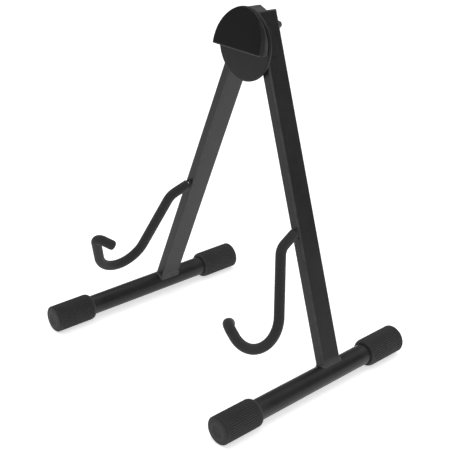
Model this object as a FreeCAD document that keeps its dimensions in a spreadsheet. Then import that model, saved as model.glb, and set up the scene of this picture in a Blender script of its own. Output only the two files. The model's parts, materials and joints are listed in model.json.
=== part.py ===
"""Folding A-frame guitar stand: two steel legs hinged to a head bracket, each with a foot tube and a cradle arm.

Frame: millimetres, +Z up, the origin on the floor in the middle of the four foot caps.  +X is to the
right for someone facing the cradle, and the cradle opens towards -Y.

Head frame: its origin is midway between the two pivots, its Y runs along the pivots towards the back, and
its Z is the leg plane's upward direction, which leans back a little.
Leg frame: its origin is the leg's own pivot, its Z runs up the leg, and its Y is the head frame's Y.
"""
import FreeCAD, Part
import Sketcher
import math
import os

from FreeCAD import Placement, Rotation, Vector

DIMENSIONS = {
    "Stance": {
        "SplayAngle": (20.5, "each leg from the head's upright, opened against its stop"),
        "LeanAngle": (3.5, "leg plane tipped back from the vertical"),
        "LegReach": (360, "pivot to the foot tube's centre line"),
        "PivotOffset": (12, "pivot from the middle of the head"),
        "FootSetback": (28, "leg behind the middle of its foot tube"),
        "FootSpan": (260, "end to end over the foot caps"),
    },
    "Leg": {
        "LegWidth": (12, "flat steel tube, across"),
        "LegDepth": (25, "flat steel tube, front to back"),
        "LegCorner": (2, "outer corner radius"),
        "LegWall": (1.2, "tube wall"),
        "LegHead": (14, "tube above the pivot"),
        "PlugFlange": (1.5, "top plug's visible lid"),
        "PlugStem": (8, "top plug's stem inside the tube"),
        "StemGap": (0.1, "stem to tube wall"),
    },
    "Foot": {
        "FootTube": (22, "foot tube diameter"),
        "FootWall": (1.2, "foot tube wall"),
        "CapTube": (30, "rubber cap diameter over its ribs"),
        "CapLength": (50, "rubber cap length"),
        "CapFloor": (4, "rubber cap's closed end"),
        "CapEdge": (3, "rounding of both cap ends"),
        "WeldLeg": (1.8, "size of the weld bead"),
    },
    "Arm": {
        "RodSize": (6, "steel rod diameter"),
        "SleeveSize": (11, "foam sleeve diameter"),
        "ArmDrop": (209, "arm root below the pivot"),
        "KneeReach": (24, "first bend in front of the leg"),
        "KneeDrop": (12, "first bend below the arm root"),
        "KneeRadius": (16, "first bend"),
        "ShankAngle": (16, "straight shank from the leg's direction"),
        "HookReach": (85, "centre of the hook in front of the pivots"),
        "HookDrop": (277, "centre of the hook below the pivot"),
        "HookRadius": (32, "hook bend"),
        "RiserAngle": (22, "riser leaning forward"),
        "LeftTipDrop": (254, "corner of the left arm's tip bend below the pivot"),
        "RightTipDrop": (274, "corner of the right arm's tip bend, which is set lower"),
        "TipRadius": (6, "tip bend"),
        "TipLength": (24, "turned-in tip from its corner"),
        "TipAngle": (45, "tip turned inwards and back"),
        "TipDip": (12, "tip sloping down from its corner"),
        "SleeveStart": (1.8, "bare rod at the root, inside the weld"),
        "SleeveOver": (2.5, "sleeve's closed end past the rod"),
        "RodGap": (0.05, "sleeve bore to rod"),
    },
    "Head": {
        "PlateThick": (2, "pressed steel bracket"),
        "PlateTop": (9, "bracket above the pivots"),
        "FlangeTop": (1, "stop flange starts below the pivot"),
        "FlangeEnd": (31, "stop flange ends below the pivot"),
        "FlangeDepth": (14, "stop flange over the side of the leg"),
        "FlangeGap": (0.15, "stop flange to leg"),
        "LegGap": (1, "bracket to leg, filled by the nylon washer"),
        "DiscSize": (76, "moulded disc diameter"),
        "DiscThick": (3.5, "moulded disc"),
        "DiscDrop": (18.5, "disc centre below the pivots"),
        "DiscEdge": (1, "disc edge rounding"),
        "PadRadius": (36, "half-moon pad"),
        "PadDrop": (17, "centre of the pad's arc below the pivots"),
        "PadFoot": (23, "pad's straight lower edge below the pivots"),
        "PadThick": (12, "pad at its lower edge"),
        "PadSlope": (14, "pad's face leaning back"),
        "PadEdge": (1.8, "rounding of the pad's face"),
    },
    "Fastener": {
        "BoltSize": (5, "pivot bolt"),
        "BoltHead": (10, "pivot bolt's low head"),
        "BoltHeadThick": (2.4, "pivot bolt's low head"),
        "BoltEnd": (19, "bolt's end behind the pivot plane"),
        "RunningFit": (0.06, "bolt to leg, radial"),
        "WasherSize": (10, "washer diameter"),
        "NylonThick": (0.9, "nylon washer"),
        "SteelThick": (0.8, "steel washer"),
        "NutFlats": (8, "nut across its flats"),
        "NutThick": (4.7, "lock nut"),
        "BushSize": (8, "spacer bush inside the leg"),
        "ScrewSize": (3.5, "screw from the bracket into the pad"),
        "ScrewHead": (6.5, "screw's pan head"),
        "ScrewHeadThick": (2.2, "screw's pan head"),
        "ScrewLength": (9.5, "screw below its head"),
        "ScrewUpper": (5, "upper screw below the pivots"),
        "ScrewLower": (16, "lower screw below the pivots"),
    },
}

SIDES = {"right": 1, "left": -1}

doc = FreeCAD.newDocument("guitar_stand")
sheet = doc.addObject("Spreadsheet::Sheet", "Dims")


def fill_sheet():
    """Write every driving dimension into its own aliased row."""
    row = 1
    for group, entries in DIMENSIONS.items():
        sheet.set(f"A{row}", group)
        row += 1
        for alias, (number, meaning) in entries.items():
            sheet.set(f"A{row}", meaning)
            sheet.set(f"B{row}", str(number))
            sheet.setAlias(f"B{row}", alias)
            row += 1
    doc.recompute()


def dim(alias):
    """The present value of one driving dimension."""
    return float(sheet.get(alias))


def bind(thing, **expressions):
    """Bind properties to expressions, with sheet aliases written bare after an @ sign."""
    for name, text in expressions.items():
        thing.setExpression(name.replace("__", "."), text.replace("@", "Dims."))


def value_of(text):
    """The number that an expression stands for."""
    result = sheet.evalExpression(text.replace("@", ""))
    return float(getattr(result, "Value", result))


# ---------------------------------------------------------------- sketches and features

def new_body(label):
    body = doc.addObject("PartDesign::Body", label)
    body.Label = label
    return body


def new_sketch(body, name, role, offset="0"):
    """A sketch on one of the body's own origin planes, moved along the plane's normal."""
    plane = [feature for feature in body.Origin.OriginFeatures if feature.Role == role][0]
    sketch = body.newObject("Sketcher::SketchObject", name)
    sketch.AttachmentSupport = [(plane, "")]
    sketch.MapMode = "FlatFace"
    bind(sketch, AttachmentOffset__Base__z=offset)
    return sketch


def pin_point(sketch, geometry, position, across, along):
    """Hold one point of the sketch at two expressions from the sketch's origin."""
    for kind, text in (("DistanceX", across), ("DistanceY", along)):
        constraint = Sketcher.Constraint(kind, -1, 1, geometry, position, value_of(text))
        index = sketch.addConstraint(constraint)
        sketch.setExpression(f"Constraints[{index}]", text.replace("@", "Dims."))


def draw_polygon(sketch, corners):
    """A closed polygon whose corners are pairs of expressions."""
    points = [Vector(value_of(across), value_of(along), 0) for across, along in corners]
    first = sketch.GeometryCount
    for index, point in enumerate(points):
        sketch.addGeometry(Part.LineSegment(point, points[(index + 1) % len(points)]), False)
    for index, (across, along) in enumerate(corners):
        following = (index + 1) % len(points)
        sketch.addConstraint(Sketcher.Constraint("Coincident", first + index, 2, first + following, 1))
        pin_point(sketch, first + index, 1, across, along)


def draw_rectangle(sketch, width, height):
    """A rectangle centred on the sketch's origin."""
    half_w, half_h = f"({width}) / 2", f"({height}) / 2"
    draw_polygon(sketch, [(f"-{half_w}", f"-{half_h}"), (half_w, f"-{half_h}"),
                          (half_w, half_h), (f"-{half_w}", half_h)])


def draw_circle(sketch, diameter, across="0", along="0"):
    """A circle at a pair of expressions."""
    radius = value_of(diameter) / 2
    centre = Vector(value_of(across), value_of(along), 0)
    index = sketch.addGeometry(Part.Circle(centre, Vector(0, 0, 1), radius), False)
    pin_point(sketch, index, 3, across, along)
    constraint = sketch.addConstraint(Sketcher.Constraint("Diameter", index, 2 * radius))
    sketch.setExpression(f"Constraints[{constraint}]", diameter.replace("@", "Dims."))


def pad(body, sketch, name, length, midplane=False, reverse=False):
    feature = body.newObject("PartDesign::Pad", name)
    feature.Profile = sketch
    feature.Midplane = midplane
    feature.Reversed = reverse
    bind(feature, Length=length)
    return feature


def pocket(body, sketch, name, length=None, reverse=False):
    """A pocket of a given depth, or right through both ways when no length is given."""
    feature = body.newObject("PartDesign::Pocket", name)
    feature.Profile = sketch
    feature.Reversed = reverse
    if length is None:
        feature.Type = "ThroughAll"
        feature.Midplane = True
    else:
        bind(feature, Length=length)
    return feature


def round_edges(body, base, name, radius, wanted):
    """Fillet the edges of the base feature that the test picks."""
    doc.recompute()
    edges = [f"Edge{index + 1}" for index, edge in enumerate(base.Shape.Edges) if wanted(edge)]
    feature = body.newObject("PartDesign::Fillet", name)
    feature.Base = (base, edges)
    bind(feature, Radius=radius)
    return feature


def runs_along(axis):
    """A test for straight edges that run along one axis."""
    def test(edge):
        return isinstance(edge.Curve, Part.Line) and abs(edge.tangentAt(edge.FirstParameter).dot(axis)) > 0.999
    return test


def cylinder(name, radius, height, start=None, axis=None):
    """A Part cylinder along its own Z, or turned onto the head's Y; start moves it along its axis."""
    solid = doc.addObject("Part::Cylinder", name)
    bind(solid, Radius=radius, Height=height)
    if axis == "Y":
        solid.Placement = Placement(Vector(), Rotation(Vector(1, 0, 0), -90))
        bind(solid, Placement__Base__y=start)
    elif start is not None:
        bind(solid, Placement__Base__z=start)
    return solid


def cut(label, base, tool):
    result = doc.addObject("Part::Cut", label)
    result.Base, result.Tool = base, tool
    result.Label = label
    return result


def fuse(label, pieces):
    result = doc.addObject("Part::MultiFuse", label)
    result.Shapes = pieces
    result.Label = label
    return result


def common(label, first, second):
    result = doc.addObject("Part::MultiCommon", label)
    result.Shapes = [first, second]
    result.Label = label
    return result


def fillet_circles(label, base, radius, wanted):
    """Round the circular edges of a Part solid that the test picks."""
    doc.recompute()
    result = doc.addObject("Part::Fillet", label)
    result.Base = base
    result.Edges = [(index + 1, radius, radius) for index, edge in enumerate(base.Shape.Edges) if wanted(edge)]
    result.Label = label
    return result


# ---------------------------------------------------------------- places

def weld_angle():
    """The foot tube's angle in its leg's frame, which lays the tube flat on the floor when opened."""
    lean, splay = math.radians(dim("LeanAngle")), math.radians(dim("SplayAngle"))
    return math.degrees(math.atan(math.tan(lean) / math.cos(splay)))


def head_place():
    """The head frame in the stand's frame."""
    lean, splay = math.radians(dim("LeanAngle")), math.radians(dim("SplayAngle"))
    reach = dim("LegReach") * math.cos(splay)
    height = dim("CapTube") / 2 + reach * math.cos(lean)
    back = dim("FootSetback") + reach * math.sin(lean)
    return Placement(Vector(0, back, height), Rotation(Vector(1, 0, 0), -dim("LeanAngle")))


def leg_place(side):
    """One leg's frame in the stand's frame."""
    pivot = Placement(Vector(side * dim("PivotOffset"), 0, 0), Rotation(Vector(0, 1, 0), -side * dim("SplayAngle")))
    return head_place().multiply(pivot)


def foot_place(side):
    """The middle of a foot tube, with its Z along the tube towards the back."""
    turn = Rotation(Vector(1, 0, 0), weld_angle() - 90)
    flat = Placement(Vector(0, 0, -dim("LegReach")), turn)
    crossing = leg_place(side).multiply(flat)
    along = crossing.Rotation.multVec(Vector(0, 0, 1))
    back_shift = -crossing.Base.y / along.y
    return Placement(crossing.Base + along * back_shift, crossing.Rotation)


# ---------------------------------------------------------------- legs and feet

def leg_tube(name, side):
    """Flat steel tube, drilled for the pivot and coped over the foot tube."""
    body = new_body(f"{name}_leg_blank")
    outline = new_sketch(body, f"{name}_leg_outline", "XY_Plane", "-@LegReach")
    draw_rectangle(outline, "@LegWidth", "@LegDepth")
    bar = pad(body, outline, f"{name}_leg_bar", "@LegReach + @LegHead")
    rounded = round_edges(body, bar, f"{name}_leg_corners", "@LegCorner", runs_along(Vector(0, 0, 1)))
    hollow = new_sketch(body, f"{name}_leg_hollow", "XY_Plane", "-@LegReach")
    draw_rectangle(hollow, "@LegWidth - 2 * @LegWall", "@LegDepth - 2 * @LegWall")
    pocket(body, hollow, f"{name}_leg_bore")
    holes = new_sketch(body, f"{name}_pivot_hole", "XZ_Plane")
    draw_circle(holes, "@BoltSize + 2 * @RunningFit")
    pocket(body, holes, f"{name}_pivot_drill")
    cope = cylinder(f"{name}_cope", "@FootTube / 2", "4 * @LegDepth")
    cope.Placement = cope_place(dim("LegDepth") * 2)
    tube = cut(f"{name}_leg_tube", body, cope)
    tube.Placement = leg_place(side)
    return tube


def cope_place(half_length):
    """The foot tube's centre line in the leg frame, for a cylinder that reaches both ways."""
    turn = Rotation(Vector(1, 0, 0), weld_angle() - 90)
    along = turn.multVec(Vector(0, 0, 1))
    return Placement(Vector(0, 0, -dim("LegReach")) - along * half_length, turn)


def foot_weld(name, side):
    """Weld bead that follows the coped end of the leg round the foot tube."""
    body = new_body(f"{name}_weld_block")
    outline = new_sketch(body, f"{name}_weld_outline", "XY_Plane", "-@LegReach")
    draw_rectangle(outline, "@LegWidth + 2 * @WeldLeg", "@LegDepth + 2 * @WeldLeg")
    block = pad(body, outline, f"{name}_weld_bar", "@FootTube")
    round_edges(body, block, f"{name}_weld_corners", "@LegCorner + @WeldLeg", runs_along(Vector(0, 0, 1)))
    core = new_sketch(body, f"{name}_weld_core", "XY_Plane", "-@LegReach")
    draw_rectangle(core, "@LegWidth", "@LegDepth")
    pocket(body, core, f"{name}_weld_inside")
    reach = cylinder(f"{name}_weld_reach", "@FootTube / 2 + @WeldLeg", "4 * @LegDepth")
    inner = cylinder(f"{name}_weld_seat", "@FootTube / 2", "4 * @LegDepth")
    for solid in (reach, inner):
        solid.Placement = cope_place(dim("LegDepth") * 2)
    shell = cut(f"{name}_weld_shell", reach, inner)
    bead = common(f"{name}_foot_weld", shell, body)
    bead.Placement = leg_place(side)
    return bead


def top_plug(name, side):
    """Plastic plug that closes the leg's cut top."""
    body = new_body(f"{name}_top_plug")
    stem = new_sketch(body, f"{name}_stem_outline", "XY_Plane", "@LegHead - @PlugStem")
    clearance = "2 * (@LegWall + @StemGap)"
    draw_rectangle(stem, f"@LegWidth - {clearance}", f"@LegDepth - {clearance}")
    pad(body, stem, f"{name}_stem", "@PlugStem")
    lid = new_sketch(body, f"{name}_lid_outline", "XY_Plane", "@LegHead")
    draw_rectangle(lid, "@LegWidth", "@LegDepth")
    top = pad(body, lid, f"{name}_lid", "@PlugFlange")

    def lid_corner(edge):
        upright = runs_along(Vector(0, 0, 1))(edge)
        middle = edge.CenterOfMass
        return upright and middle.z > dim("LegHead") and abs(middle.x) > dim("LegWidth") / 2 - 0.1

    round_edges(body, top, f"{name}_lid_corners", "@LegCorner", lid_corner)
    body.Placement = leg_place(side)
    return body


def pivot_bush(name, side):
    """Spacer bush between the leg's walls, so that the bolt can't squeeze the tube."""
    length = "@LegDepth - 2 * @LegWall - @StemGap"
    outer = cylinder(f"{name}_bush_outer", "@BushSize / 2", length, f"-({length}) / 2", "Y")
    bore = cylinder(f"{name}_bush_bore", "@BoltSize / 2 + @RunningFit", "@LegDepth", "-@LegDepth / 2", "Y")
    bush = cut(f"{name}_pivot_bush", outer, bore)
    bush.Placement = leg_place(side)
    return bush


def foot_tube(name, side):
    """Round steel tube along the floor."""
    body = new_body(f"{name}_foot_tube")
    length = "@FootSpan - 2 * @CapFloor"
    ring = new_sketch(body, f"{name}_foot_ring", "XY_Plane")
    draw_circle(ring, "@FootTube")
    draw_circle(ring, "@FootTube - 2 * @FootWall")
    pad(body, ring, f"{name}_foot_pad", length, midplane=True)
    body.Placement = foot_place(side)
    return body


def foot_cap(name, end, side):
    """Rubber cap over one end of a foot tube; end is 1 at the back and -1 at the front."""
    label = f"{name}_{'rear' if end > 0 else 'front'}_cap"
    outer = cylinder(f"{label}_outer", "@CapTube / 2", "@CapLength")
    rounded = fillet_circles(f"{label}_rounded", outer, dim("CapEdge"), lambda edge: isinstance(edge.Curve, Part.Circle))
    bore = cylinder(f"{label}_bore", "@FootTube / 2 + @RodGap", "@CapLength", "-@CapFloor")
    cap = cut(label, rounded, bore)
    outward = 0 if end > 0 else 180
    shift = end * (dim("FootSpan") / 2 - dim("CapLength"))
    cap.Placement = foot_place(side).multiply(Placement(Vector(0, 0, shift), Rotation(Vector(1, 0, 0), outward)))
    return cap


# ---------------------------------------------------------------- cradle arms

def rounded_path(corners, radii):
    """Straight runs between the corners, joined by tangent arcs of the given radii."""
    edges = []
    start = corners[0]
    for before, corner, after, radius in zip(corners, corners[1:], corners[2:], radii):
        back, ahead = (before - corner).normalize(), (after - corner).normalize()
        half = back.getAngle(ahead) / 2
        trim = radius / math.tan(half)
        middle = (back + ahead).normalize() * (radius / math.sin(half) - radius)
        first, last = corner + back * trim, corner + ahead * trim
        edges.append(Part.LineSegment(start, first).toShape())
        edges.append(Part.Arc(first, corner + middle, last).toShape())
        start = last
    edges.append(Part.LineSegment(start, corners[-1]).toShape())
    return Part.Wire(edges)


def arm_corners(side):
    """The arm's corners in its leg's frame, from the leg's front face to the turned-in tip."""
    shank, riser = math.radians(dim("ShankAngle")), math.radians(dim("RiserAngle"))
    face = -dim("LegDepth") / 2
    root = Vector(0, face, -dim("ArmDrop"))
    knee = root + Vector(0, -dim("KneeReach"), -dim("KneeDrop"))
    centre = Vector(0, -dim("HookReach"), -dim("HookDrop"))
    down = Vector(0, -math.sin(shank), -math.cos(shank))
    up = Vector(0, -math.sin(riser), math.cos(riser))
    # the shank and the riser both touch the hook's circle, and meet below it
    shank_touch = centre + Vector(0, math.cos(shank), -math.sin(shank)) * dim("HookRadius")
    riser_touch = centre + Vector(0, -math.cos(riser), -math.sin(riser)) * dim("HookRadius")
    bottom = meeting_point(shank_touch, down, riser_touch, up)
    tip_drop = dim("RightTipDrop") if side == SIDES["right"] else dim("LeftTipDrop")
    tip = riser_touch + up * ((-tip_drop - riser_touch.z) / up.z)
    knee = meeting_point(root, (knee - root).normalize(), shank_touch, down)
    turn, dip = math.radians(dim("TipAngle")), math.radians(dim("TipDip"))
    level = Vector(-side * math.sin(turn), math.cos(turn), 0)
    end = tip + (level * math.cos(dip) - Vector(0, 0, math.sin(dip))) * dim("TipLength")
    return [root, knee, bottom, tip, end]


def meeting_point(first, along_first, second, along_second):
    """Where two lines of the arm's plane cross."""
    gap = second - first
    cross = along_first.y * along_second.z - along_first.z * along_second.y
    distance = (gap.y * along_second.z - gap.z * along_second.y) / cross
    return first + along_first * distance


def trimmed(corners, start, end):
    """The corners with both ends of the route moved along their runs; a positive end lengthens it."""
    ahead = (corners[1] - corners[0]).normalize()
    last = (corners[-1] - corners[-2]).normalize()
    return [corners[0] + ahead * start] + corners[1:-1] + [corners[-1] + last * end]


def swept_rod(name, corners, diameter):
    """A round bar of one diameter along the arm's route."""
    radii = [dim("KneeRadius"), dim("HookRadius"), dim("TipRadius")]
    path = doc.addObject("Part::Feature", f"{name}_path")
    path.Shape = rounded_path(corners, radii)
    section = doc.addObject("Part::Circle", f"{name}_section")
    bind(section, Radius=f"({diameter}) / 2")
    ahead = corners[1] - corners[0]
    section.Placement = Placement(corners[0], Rotation(Vector(0, 0, 1), ahead))
    sweep = doc.addObject("Part::Sweep", name)
    sweep.Sections = [section]
    sweep.Spine = (path, [f"Edge{index + 1}" for index in range(len(path.Shape.Edges))])
    sweep.Solid = True
    sweep.Frenet = False
    sweep.Label = name
    return sweep


def support_arm(name, side):
    """Bent rod welded to the leg's front, its weld, and the soft sleeve over it."""
    corners = arm_corners(side)
    rod = swept_rod(f"{name}_arm_rod", trimmed(corners, 0, -dim("SleeveOver")), "@RodSize")
    sleeve_corners = trimmed(corners, dim("SleeveStart"), 0)
    skin = swept_rod(f"{name}_sleeve_skin", sleeve_corners, "@SleeveSize")
    bore_end = dim("RodGap") - dim("SleeveOver")
    bore = swept_rod(f"{name}_sleeve_bore", trimmed(corners, 0, bore_end), "@RodSize + 2 * @RodGap")
    sleeve = cut(f"{name}_arm_sleeve", skin, bore)
    cone = doc.addObject("Part::Cone", f"{name}_arm_bead")
    bind(cone, Radius1="@SleeveSize / 2", Radius2="@RodSize / 2 + @WeldLeg / 2", Height="@WeldLeg - @RodGap")
    cone.Placement = Placement(corners[0], Rotation(Vector(0, 0, 1), Vector(0, -1, 0)))
    hole = swept_rod(f"{name}_arm_bead_bore", corners, "@RodSize")
    weld = cut(f"{name}_arm_weld", cone, hole)
    # the rod's slanted end is trimmed flush with the leg's flat front
    wall = doc.addObject("Part::Box", f"{name}_arm_wall")
    bind(wall, Length="@LegDepth", Width="@LegDepth", Height="@LegDepth")
    half = dim("LegDepth") / 2
    wall.Placement.Base = Vector(-half, -half, corners[0].z - half)
    flush = cut(f"{name}_support_rod", rod, wall)
    # the sleeve's root is trimmed to the leg's front and the weld
    flush_sleeve = cut(f"{name}_rod_sleeve", sleeve, fuse(f"{name}_sleeve_seat", [wall, cone]))
    for piece in (flush, flush_sleeve, weld):
        piece.Placement = leg_place(side)
    return [flush, flush_sleeve, weld]


# ---------------------------------------------------------------- head

FRONT = "(@LegDepth / 2 + @LegGap)"


def hinge_bracket():
    """Pressed bracket: a web in front of both legs, with a flange down the outside of each as its stop."""
    body = new_body("hinge_bracket")
    splay_sin, splay_cos = "sin(@SplayAngle)", "cos(@SplayAngle)"
    outside = "(@LegWidth / 2 + @FlangeGap + @PlateThick)"
    inside = "(@LegWidth / 2 + @FlangeGap)"

    def on_leg(offset, drop, sign=""):
        across = f"{sign}(@PivotOffset + {offset} * {splay_cos} + {drop} * {splay_sin})"
        return across, f"{offset} * {splay_sin} - {drop} * {splay_cos}"

    web = new_sketch(body, "web_outline", "XZ_Plane", FRONT)
    corner = "(@PivotOffset + @LegWidth / 2)"
    draw_polygon(web, [on_leg(outside, "@FlangeEnd", "-"), on_leg(outside, "@FlangeEnd"),
                       on_leg(outside, "@FlangeTop"), (corner, "@PlateTop"),
                       (f"-{corner}", "@PlateTop"), on_leg(outside, "@FlangeTop", "-")])
    pad(body, web, "web", "@PlateThick")
    for name, sign in (("right", ""), ("left", "-")):
        strip = new_sketch(body, f"{name}_flange_outline", "XZ_Plane", FRONT)
        draw_polygon(strip, [on_leg(inside, "@FlangeTop", sign), on_leg(outside, "@FlangeTop", sign),
                             on_leg(outside, "@FlangeEnd", sign), on_leg(inside, "@FlangeEnd", sign)])
        last = pad(body, strip, f"{name}_flange", "@FlangeDepth + @LegGap", reverse=True)
    bolts = new_sketch(body, "bracket_holes", "XZ_Plane", FRONT)
    for sign in ("", "-"):
        draw_circle(bolts, "@BoltSize + @RodGap", f"{sign}@PivotOffset")
    for drop in ("@ScrewUpper", "@ScrewLower"):
        draw_circle(bolts, "@ScrewSize + @RodGap", "0", f"-{drop}")
    pocket(body, bolts, "bracket_drill")
    body.Placement = head_place()
    return body


def head_disc():
    """Moulded disc that covers the bracket, hollowed behind for the bolt heads."""
    body = new_body("head_disc")
    back = f"({FRONT} + @PlateThick)"
    round_face = new_sketch(body, "disc_outline", "XZ_Plane", back)
    draw_circle(round_face, "@DiscSize", "0", "-@DiscDrop")
    blank = pad(body, round_face, "disc", "@DiscThick")
    front = -value_of(f"{back} + @DiscThick")

    def front_rim(edge):
        return abs(edge.CenterOfMass.y - front) < 0.01

    round_edges(body, blank, "disc_rim", "@DiscEdge", front_rim)
    heads = new_sketch(body, "head_pockets", "XZ_Plane", back)
    for sign in ("", "-"):
        draw_circle(heads, "@BoltHead + 1", f"{sign}@PivotOffset")
    pocket(body, heads, "head_room", "@BoltHeadThick + 0.2", reverse=True)
    screws = new_sketch(body, "disc_screw_holes", "XZ_Plane", back)
    for drop in ("@ScrewUpper", "@ScrewLower"):
        draw_circle(screws, "@ScrewSize + @RodGap", "0", f"-{drop}")
    pocket(body, screws, "disc_drill")
    body.Placement = head_place()
    return body


def half_moon_pad():
    """Rubber pad with a sloping face, thick at its straight lower edge and thin at the top of its arc."""
    back = f"({FRONT} + @PlateThick + @DiscThick)"
    top = "(@PadRadius - @PadDrop)"
    rise = f"({top} + @PadFoot)"
    slope = "tan(@PadSlope)"
    body = new_body("pad_wedge")
    profile = new_sketch(body, "pad_profile", "YZ_Plane")
    front = f"({back} + @PadThick)"
    draw_polygon(profile, [(f"-{back}", "-@PadFoot"), (f"-{back}", top),
                           (f"-({front} - {rise} * {slope})", top), (f"-{front}", "-@PadFoot")])
    pad(body, profile, "pad_block", "2 * @PadRadius", midplane=True)
    holes = new_sketch(body, "pad_screw_holes", "XZ_Plane", back)
    for drop in ("@ScrewUpper", "@ScrewLower"):
        draw_circle(holes, "@ScrewSize + @RodGap", "0", f"-{drop}")
    pocket(body, holes, "pad_drill", "@ScrewLength - @PlateThick - @DiscThick + 0.5", reverse=True)
    arc = cylinder("pad_arc", "@PadRadius", "2 * @PadRadius", "-2 * @PadRadius", "Y")
    bind(arc, Placement__Base__z="-@PadDrop")
    rounded = common("half_moon_blank", body, arc)
    face = Vector(0, -math.cos(math.radians(dim("PadSlope"))), math.sin(math.radians(dim("PadSlope"))))
    foot = Vector(0, -value_of(front), -dim("PadFoot"))

    def on_face(edge):
        points = [edge.valueAt(edge.FirstParameter), edge.CenterOfMass, edge.valueAt(edge.LastParameter)]
        return all(abs((point - foot).dot(face)) < 0.05 for point in points)

    blended = fillet_circles("half_moon_pad", rounded, dim("PadEdge"), on_face)
    blended.Placement = head_place()
    return blended


def pivot_set(name, side):
    """Bolt, lock nut and washers of one pivot."""
    web_front = f"({FRONT} + @PlateThick)"
    bore = "@BoltSize / 2 + @RunningFit"
    head = cylinder(f"{name}_bolt_head", "@BoltHead / 2", "@BoltHeadThick", f"-{web_front} - @BoltHeadThick", "Y")
    shaft = cylinder(f"{name}_bolt_shaft", "@BoltSize / 2", f"{web_front} + @BoltEnd", f"-{web_front}", "Y")
    bolt = fuse(f"{name}_pivot_bolt", [head, shaft])
    nylon = ring(f"{name}_nylon_washer", "@NylonThick", f"-{FRONT} + (@LegGap - @NylonThick) / 2", bore)
    rear_face = "(@LegDepth / 2 + @RodGap)"
    steel = ring(f"{name}_steel_washer", "@SteelThick", rear_face, bore)
    prism = doc.addObject("Part::Prism", f"{name}_nut_prism")
    prism.Polygon = 6
    bind(prism, Circumradius="@NutFlats / 2 / cos(30)", Height="@NutThick")
    prism.Placement = Placement(Vector(), Rotation(Vector(1, 0, 0), -90))
    bind(prism, Placement__Base__y=f"{rear_face} + @SteelThick")
    thread = cylinder(f"{name}_nut_bore", "@BoltSize / 2", "@LegDepth", rear_face, "Y")
    nut = cut(f"{name}_pivot_nut", prism, thread)
    for piece in (bolt, nylon, steel, nut):
        piece.Placement = leg_place(side)
    return [bolt, nylon, steel, nut]


def ring(label, thickness, start, bore):
    """A flat washer on the pivot."""
    disc = cylinder(f"{label}_disc", "@WasherSize / 2", thickness, start, "Y")
    hole = cylinder(f"{label}_hole", bore, "2 * @LegDepth", "-@LegDepth", "Y")
    return cut(label, disc, hole)


def head_screws():
    """The two screws that hold the disc and the pad to the bracket."""
    pieces = []
    for name, drop in (("upper", "ScrewUpper"), ("lower", "ScrewLower")):
        head = cylinder(f"{name}_screw_head", "@ScrewHead / 2", "@ScrewHeadThick", f"-{FRONT}", "Y")
        shank = cylinder(f"{name}_screw_shank", "@ScrewSize / 2", "@ScrewLength", f"-{FRONT} - @ScrewLength", "Y")
        screw = fuse(f"{name}_screw", [head, shank])
        screw.Placement.Base = Vector(0, 0, -dim(drop))
        pieces.append(screw)
    screws = doc.addObject("Part::Compound", "head_screws")
    screws.Links = pieces
    screws.Placement = head_place()
    return screws


# ---------------------------------------------------------------- build


fill_sheet()
nodes = [hinge_bracket(), head_disc(), half_moon_pad(), head_screws()]
for side_name, side_sign in SIDES.items():
    nodes += [leg_tube(side_name, side_sign), top_plug(side_name, side_sign), pivot_bush(side_name, side_sign)]
    nodes += [foot_tube(side_name, side_sign), foot_weld(side_name, side_sign)]
    nodes += [foot_cap(side_name, end, side_sign) for end in (-1, 1)]
    nodes += support_arm(side_name, side_sign)
    nodes += pivot_set(side_name, side_sign)
doc.recompute()

faults = [thing.Label for thing in doc.Objects if set(thing.State) & {"Invalid", "Error"}]
faults += [node.Label for node in nodes if node.Shape.isNull() or not node.Shape.isValid()]
if faults:
    raise RuntimeError("failed objects: " + ", ".join(faults))

os.makedirs("parts", exist_ok=True)
for node in nodes:
    node.Shape.exportStep(f"parts/{node.Label}.step")
    print(f"{node.Label:22s} solids {len(node.Shape.Solids)}  volume {node.Shape.Volume:10.1f}")
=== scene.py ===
"""Looks of a folding A-frame guitar stand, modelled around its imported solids.

Meshes are in metres; sizes that the classes keep are in millimetres, except where MM stands beside them.
The head frame has its origin midway between the two pivots, its Y along the pivots towards the back and its
Z up the leaning leg plane.  A leg frame has its origin on the leg's own pivot and its Z up the leg.  A foot
frame has its origin in the middle of the foot tube and its Z along the tube, to the back.
"""
from __future__ import annotations

import json
import logging
import math
from collections.abc import Callable, Iterable, Sequence
from dataclasses import dataclass, field
from enum import Enum

import bmesh
import bpy
from mathutils import Matrix, Vector

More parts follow.
